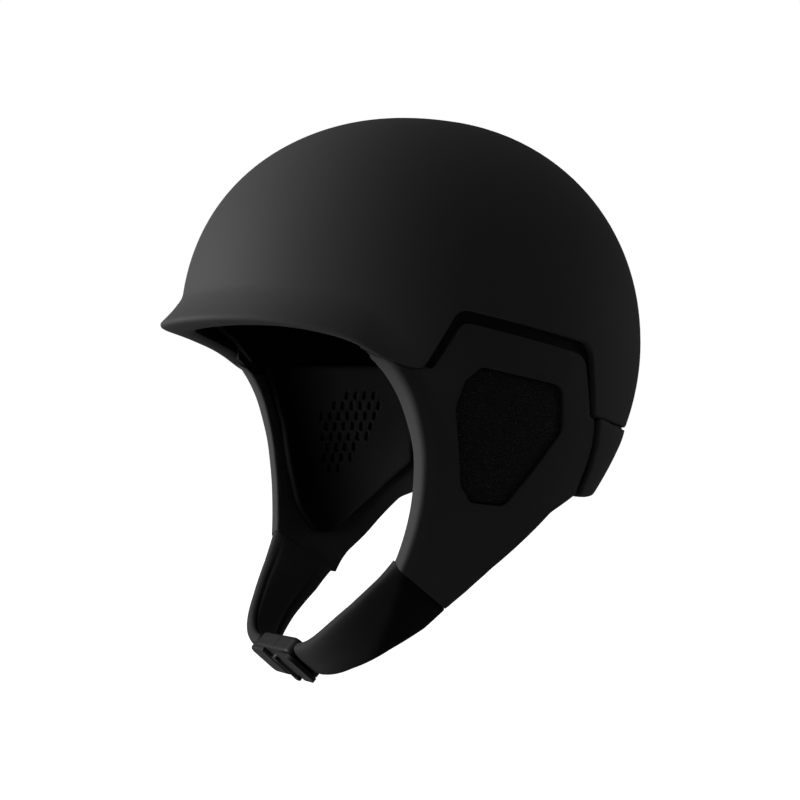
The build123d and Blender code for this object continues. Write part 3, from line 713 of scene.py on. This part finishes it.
# ear pads: thick foam with a rounded edge, and rows of slots over the ear
earPad = {
    "corners": [(-57, -9), (40.5, -9), (43, -38), (38.5, -68), (15, -86.5), (-17, -108), (-29.5, -106.5),
                (-38, -92), (-41.5, -68), (-44, -45), (-50.5, -24)],
    "radii": [5, 5, 20, 8, 30, 6, 6, 20, 30, 30, 20], "step": 1.2, "cell": 4.0,
    "profile": [(8.3, 0.6), (8.9, 0.0), (12.2, 0.0), (13.3, 0.3), (14.2, 1.0), (14.8, 2.0), (15.0, 3.2)],
    "slotSize": (5.2, 2.5), "slotTurn": 78.0, "slotPitch": 5.9, "slotSides": 16,
    "slotProfile": [(16, -0.5), (14.9, -0.3), (14.4, 0), (6, 0)],
    # level, first place and number of slots of each row
    "slotRows": [(-27.5, 0.0, 4), (-33.7, -8.85, 6), (-39.9, -17.7, 7), (-46.1, -14.75, 6),
                 (-52.3, -17.7, 6), (-58.5, -14.75, 4), (-64.7, -17.7, 4), (-70.9, -14.75, 2)],
}


def slotLine(centre):
    # outline of a slot with round ends
    length, width = earPad["slotSize"]
    angle = (np.arange(earPad["slotSides"]) + 0.5) * 2 * math.pi / earPad["slotSides"]
    line = np.column_stack([np.cos(angle), np.sin(angle)]) * width / 2
    line[:, 0] += np.sign(line[:, 0]) * (length - width) / 2
    turn = math.radians(earPad["slotTurn"])
    return line @ np.array([[math.cos(turn), math.sin(turn)], [-math.sin(turn), math.cos(turn)]]) + centre


padLine = roundedLine(earPad["corners"], earPad["radii"], closed=True, step=outlineStep)
leftPad = slab("earPadLeft", resample(padLine, earPad["step"], closed=True), earPad["profile"])
cutters = []
for level, first, count in earPad["slotRows"]:
    for number in range(count):
        centre = np.array([first + number * earPad["slotPitch"], level])
        cutters.append(slab("slotCutter", slotLine(centre), earPad["slotProfile"]))
takeUp(cutters[0])
for cutter in cutters[1:]:
    cutter.select_set(True)
bpy.ops.object.join()
cutAway(leftPad, cutters[0])
gridCuts(leftPad, earPad["cell"])
bendOver(leftPad)
rightPad = mirrorCopy(leftPad, "earPadRight")
for piece, side in ((leftPad, "left"), (rightPad, "right")):
    finishPiece(piece, "helmet", paddingClothPaintedShade, f"ear_pad_{side}", angle=40)
print("ear pads ready")

# chin sleeves: padded tubes along the curve of each strap half
sleeve = {
    # share of the way, width, depth and shift to the rear
    "stations": [(0.0, 41.0, 9.6, 1.8), (0.25, 34.5, 9.2, 2.2), (0.5, 26.5, 8.8, 0.8),
                 (0.75, 21.5, 8.4, -0.5), (1.0, 20.0, 7.4, -0.6)],
    "rootPull": {1: 10.0, -1: 17.0}, "endPull": {1: 50.0, -1: 45.0}, "end": 27.0, "length": 88.0,
    # how far the front edge is filled out on each side, most at this share of the way
    "frontFill": {1: 4.4, -1: 0.0}, "fillEnd": 0.98, "fillLate": 1.35, "fillPower": 1.5,
    "bodyRows": 80, "sides": 96, "squareness": 3.0, "rounding": 2.6,
    # grooves on the inner face: place over the width, depth and half width
    "grooves": [(-0.74, 0.9, 0.05), (0.56, 1.6, 0.09)], "grooveEnds": (0.08, 0.9),
    # border of the darker area on the outer face: share of the way and place over the width,
    # and how soft it is at the root and over the length
    "patchBorder": [(0, -1.0), (0.12, -0.88), (0.3, -0.6), (0.45, -0.2), (0.6, 0.4), (0.75, 1.1)],
    "patchSoftness": (0.2, 0.7),
}


def unit(vector):
    vector = np.array(vector, float)
    return vector / np.linalg.norm(vector)


buckleX = unit(strap["buckleAlong"])
buckleY = unit(np.cross(unit(strap["buckleOutward"]), buckleX))
buckleZ = np.cross(buckleX, buckleY)


def sleeveFrame(side, share):
    # point, width direction and outward direction at one share of the way
    flip = np.array([side, 1, 1])
    root, across, outward, down = (np.array(strap[k]) * flip for k in ("root", "across", "outward", "down"))
    start = root - outward * strap["depth"] + down * strap["gap"]
    end = np.array(strap["buckleCentre"]) + buckleX * sleeve["end"] * side
    a, b = start, start + down * sleeve["rootPull"][side]
    c, d = end + buckleX * sleeve["endPull"][side] * side, end
    t = share
    point = a * (1 - t) ** 3 + 3 * b * t * (1 - t) ** 2 + 3 * c * t * t * (1 - t) + d * t ** 3
    run = unit(3 * (b - a) * (1 - t) ** 2 + 6 * (c - b) * t * (1 - t) + 3 * (d - c) * t * t)
    turned = across * (1 - t) - buckleY * t
    turned = unit(turned - run * (turned @ run))
    return point, turned, np.cross(run, turned) * side


def sleeveRows():
    # each row: share of the way, how far the section draws in, and its share of the way from the middle
    r, length = sleeve["rounding"], sleeve["length"]
    start = [(0.0, r, k / 4) for k in (1, 2, 3)]
    for t in np.linspace(0, math.pi / 2, 6):
        start.append((r * (1 - math.cos(t)) / length, r * (1 - math.sin(t)), 1.0))
    shares = np.linspace(r / length, 1 - r / length, sleeve["bodyRows"])[1:-1]
    end = [(1 - share, draw, inner) for share, draw, inner in reversed(start)]
    return start + [(share, 0.0, 1.0) for share in shares] + end


def makeSleeve(side, name):
    stations, rows = np.array(sleeve["stations"]), sleeveRows()
    bpy.ops.object.select_all(action="DESELECT")
    bpy.ops.mesh.primitive_uv_sphere_add(segments=sleeve["sides"], ring_count=len(rows) + 1, radius=1)
    piece = newest(name)
    ball = coordinates(piece)
    ring = np.rint(np.arccos(np.clip(ball[:, 2], -1, 1)) / math.pi * (len(rows) + 1)).astype(int)
    angle = np.arctan2(ball[:, 1], ball[:, 0])
    power = 2 / sleeve["squareness"]
    u = np.sign(np.cos(angle)) * np.abs(np.cos(angle)) ** power
    v = np.sign(np.sin(angle)) * np.abs(np.sin(angle)) ** power
    places, way = np.zeros_like(ball), np.zeros(len(ball))
    for number in range(len(rows) + 2):
        here = ring == number
        share, draw, inner = rows[min(max(number - 1, 0), len(rows) - 1)]
        inner = 0.0 if number in (0, len(rows) + 1) else inner
        width, depth, shift = (np.interp(share, stations[:, 0], stations[:, k]) for k in (1, 2, 3))
        point, across, outward = sleeveFrame(side, share)
        groove = np.zeros(here.sum())
        for place, size, spread in sleeve["grooves"]:
            groove += size * np.exp(-((u[here] - place) / spread) ** 2)
        start, end = sleeve["grooveEnds"]
        groove *= (v[here] < 0) * fade(share, end, start) ** 0.3 * (draw == 0)
        late = min(share / sleeve["fillEnd"], 1) ** sleeve["fillLate"]
        full = sleeve["frontFill"][side] * math.sin(math.pi * late) ** sleeve["fillPower"]
        spanHere = (u[here] * (width / 2 - draw) + full * np.minimum(u[here], 0)) * inner + shift
        rise = (v[here] * (depth / 2 - draw) + groove) * inner
        places[here] = point + np.outer(spanHere, across) + np.outer(rise, outward)
        way[here] = share
    setCoordinates(piece, places * mm)
    outerFace = (v > 0) * (ring > 0) * (ring <= len(rows))
    border = np.interp(way, *np.transpose(sleeve["patchBorder"]))
    softness, growth = sleeve["patchSoftness"]
    patch = outerFace * (1 - fade(u, border, border + softness + growth * way))
    shade = piece.data.attributes.new("patch", "FLOAT", "POINT")
    shade.data.foreach_set("value", patch.astype(np.float32))
    editMesh(piece, lambda: bpy.ops.mesh.normals_make_consistent(inside=False))
    return piece


for side, name in ((1, "left"), (-1, "right")):
    piece = makeSleeve(side, "chinSleeve" + name.title())
    finishPiece(piece, f"strap_{name}", sleeveCloth, f"chin_sleeve_{name}", angle=60)
print("chin sleeves ready")

# soft copies of frame pieces: comfort pads blown up as sewn cloth, and the nape cradle with round edges
softPads = {
    "names": {"crown_pad": "crownPad", "brow_pad": "browPad", "rear_pad": "rearPad",
              "side_pad_left": "sidePadLeft", "side_pad_right": "sidePadRight", "nape_pad": "napePad"},
    "voxel": 3.6, "shrink": 0.4,
    "quality": 6, "mass": 0.3, "pressure": 4.0, "frames": 20, "mostMove": 1.6,
}
cradle = {"voxel": 1.25, "smoothing": 0.5, "rounds": 6, "raise": 2.4, "raiseDepth": 12.0}


def softCopy(nodeName, name, voxel):
    source = nodes[nodeName]
    piece = bpy.data.objects.new(name, source.data.copy())
    bpy.context.collection.objects.link(piece)
    piece.data.name = name
    piece.data.transform(source.matrix_world)
    piece.data.materials.clear()
    editMesh(piece, lambda: bpy.ops.mesh.remove_doubles(threshold=0.001 * mm))
    applyModifier(piece, "REMESH", mode="VOXEL", voxel_size=voxel * mm, use_smooth_shade=True)
    return piece


def blowUp(piece):
    # cloth under pressure for a few frames, with its movement capped
    start = coordinates(piece)
    takeUp(piece)
    cloth = piece.modifiers.new("Cloth", "CLOTH")
    cloth.settings.quality = softPads["quality"]
    cloth.settings.mass = softPads["mass"]
    cloth.settings.use_pressure = True
    cloth.settings.uniform_pressure_force = softPads["pressure"]
    cloth.settings.effector_weights.gravity = 0
    cloth.point_cache.frame_start, cloth.point_cache.frame_end = 1, softPads["frames"]
    for frameNumber in range(1, softPads["frames"] + 1):
        bpy.context.scene.frame_set(frameNumber)
    bpy.ops.object.modifier_apply(modifier=cloth.name)
    bpy.context.scene.frame_set(1)
    moved = coordinates(piece) - start
    length = np.linalg.norm(moved, axis=1)[:, None]
    most = softPads["mostMove"] * mm
    setCoordinates(piece, start + moved * np.minimum(1, most / np.maximum(length, 1e-9)))
    applyModifier(piece, "SUBSURF", levels=1, render_levels=1)


for nodeName, name in softPads["names"].items():
    piece = softCopy(nodeName, name, softPads["voxel"])
    applyModifier(piece, "DISPLACE", strength=-softPads["shrink"] * mm, mid_level=0)
    blowUp(piece)
    body = "nape" if nodeName == "nape_pad" else "helmet"
    finishPiece(piece, body, liningClothAndShade, nodeName, angle=180)
napeCradle = softCopy("nape_cradle", "napeCradle", cradle["voxel"])
applyModifier(napeCradle, "SMOOTH", factor=cradle["smoothing"], iterations=cradle["rounds"])
places = coordinates(napeCradle) / mm
top = places[:, 2].max()
places[:, 2] += cradle["raise"] * fade(places[:, 2], top, top - cradle["raiseDepth"])
setCoordinates(napeCradle, places * mm)
finishPiece(napeCradle, "nape", cradleFoam, "nape_cradle", angle=180)
print("soft pads and nape cradle ready")

# finishes of the pieces that stay as the frame has them, with the edges of the moulded ones rounded
plainFinishes = {
    "bandRubber": (bandRubber, ["panel_band_left", "panel_band_right"]),
    "liner": (linerFoam, ["impact_liner"]),
    "webbing": (webbingWeave, ["strap_anchor_left", "strap_anchor_right", "strap_webbing_left",
                               "strap_webbing_right"]),
    "buckle": (bucklePlastic, ["buckle_base", "buckle_latch", "release_tab", "panel_studs"]),
    "steel": (steel, ["base_bar", "latch_bar", "tab_pin", "nape_pin", "base_magnet", "latch_magnet"]),
}
rounding = {"pieces": ["buckle_base", "buckle_latch", "release_tab"], "width": 0.4, "angle": 50.0}
for name in rounding["pieces"]:
    rounder = nodes[name].modifiers.new("Rounder", "BEVEL")
    rounder.width, rounder.segments, rounder.limit_method = rounding["width"] * mm, 2, "ANGLE"
    rounder.angle_limit = math.radians(rounding["angle"])
for finish, names in plainFinishes.values():
    for name in names:
        nodes[name].data.materials.clear()
        nodes[name].data.materials.append(finish)
print("frame pieces finished")

# stage
stage = {
    "floorLevel": cadBounds[0][2],
    "keyPlace": (-0.66, -1.52, 0.42), "keySize": (1.4, 1.0), "keyPower": 42.0,
    "fillPlace": (1.3, -0.9, 0.9), "fillSize": (1.6, 1.6), "fillPower": 0.3,
    "topPlace": (0.1, 0.5, 1.4), "topSize": (1.2, 1.2), "topPower": 2.4,
    "rearPlace": (0.30, 1.5, 0.0), "rearSize": (0.8, 0.8), "rearPower": 3.0,
    "bouncePlace": (-0.12, -0.5, -0.16), "bounceSize": (0.5, 0.4), "bouncePower": 0.9,
    "cameraPlace": (0.5454, -0.2992, -0.0304), "cameraTurn": 62.1, "lens": 52.0,
    "worldDim": 0.045, "worldGlossy": 0.10, "floorGlow": 0.985,
}


def areaLight(name, place, aim, size, power):
    bpy.ops.object.select_all(action="DESELECT")
    bpy.ops.object.light_add(type="AREA", location=place)
    lamp = bpy.context.object
    lamp.name = name
    lamp.data.shape = "RECTANGLE"
    lamp.data.size, lamp.data.size_y = size
    lamp.data.energy = power
    lamp.rotation_euler = (Vector(aim) - Vector(place)).to_track_quat("-Z", "Y").to_euler()
    return lamp


def rayBrightness(tree, dim, glossy, full):
    # strength that each kind of ray sees: full for the camera and for transmission, little for the others
    lightPath = addNode(tree, "ShaderNodeLightPath")
    last = None
    for output, gain in (("Is Camera Ray", full - dim), ("Is Transmission Ray", full - dim),
                         ("Is Glossy Ray", glossy - dim)):
        total = addNode(tree, "ShaderNodeMath", operation="MULTIPLY_ADD")
        tree.links.new(lightPath.outputs[output], total.inputs[0])
        total.inputs[1].default_value = gain
        total.inputs[2].default_value = dim
        if last:
            tree.links.new(last.outputs["Value"], total.inputs[2])
        last = total
    return last.outputs["Value"]


bpy.ops.object.select_all(action="DESELECT")
bpy.ops.mesh.primitive_plane_add(size=12, location=(0, 0, stage["floorLevel"]))
floor = newest("floor")
floorMaterial, tree, shader = newMaterial("palePaper", (0.35, 0.35, 0.35), 0.9, 0.1)
glow = addNode(tree, "ShaderNodeEmission")
both = addNode(tree, "ShaderNodeAddShader")
tree.links.new(rayBrightness(tree, 0.0, 0.05, stage["floorGlow"]), glow.inputs["Strength"])
tree.links.new(shader.outputs["BSDF"], both.inputs[0])
tree.links.new(glow.outputs["Emission"], both.inputs[1])
tree.links.new(both.outputs["Shader"], tree.nodes["Material Output"].inputs["Surface"])
floor.data.materials.append(floorMaterial)

for lampName in ("key", "fill", "top", "rear", "bounce"):
    lamp = areaLight(lampName + "Light", stage[lampName + "Place"], (0, 0, 0), stage[lampName + "Size"],
                     stage[lampName + "Power"])
    lamp.visible_camera = False

world = bpy.data.worlds.new("studio")
bpy.context.scene.world = world
world.use_nodes = True
worldTree = world.node_tree
worldTree.nodes.clear()
background = addNode(worldTree, "ShaderNodeBackground", Color=(1, 1, 1, 1))
worldOutput = addNode(worldTree, "ShaderNodeOutputWorld")
worldTree.links.new(rayBrightness(worldTree, stage["worldDim"], stage["worldGlossy"], 1.0),
                    background.inputs["Strength"])
worldTree.links.new(background.outputs["Background"], worldOutput.inputs["Surface"])

bpy.ops.object.camera_add(location=stage["cameraPlace"],
                          rotation=(math.pi / 2, 0, math.radians(stage["cameraTurn"])))
camera = bpy.context.object
camera.data.lens = stage["lens"]
camera.data.sensor_width = 36
camera.data.clip_start = 0.01
bpy.context.scene.camera = camera
bpy.context.scene.view_settings.view_transform = "Standard"
print("stage ready")
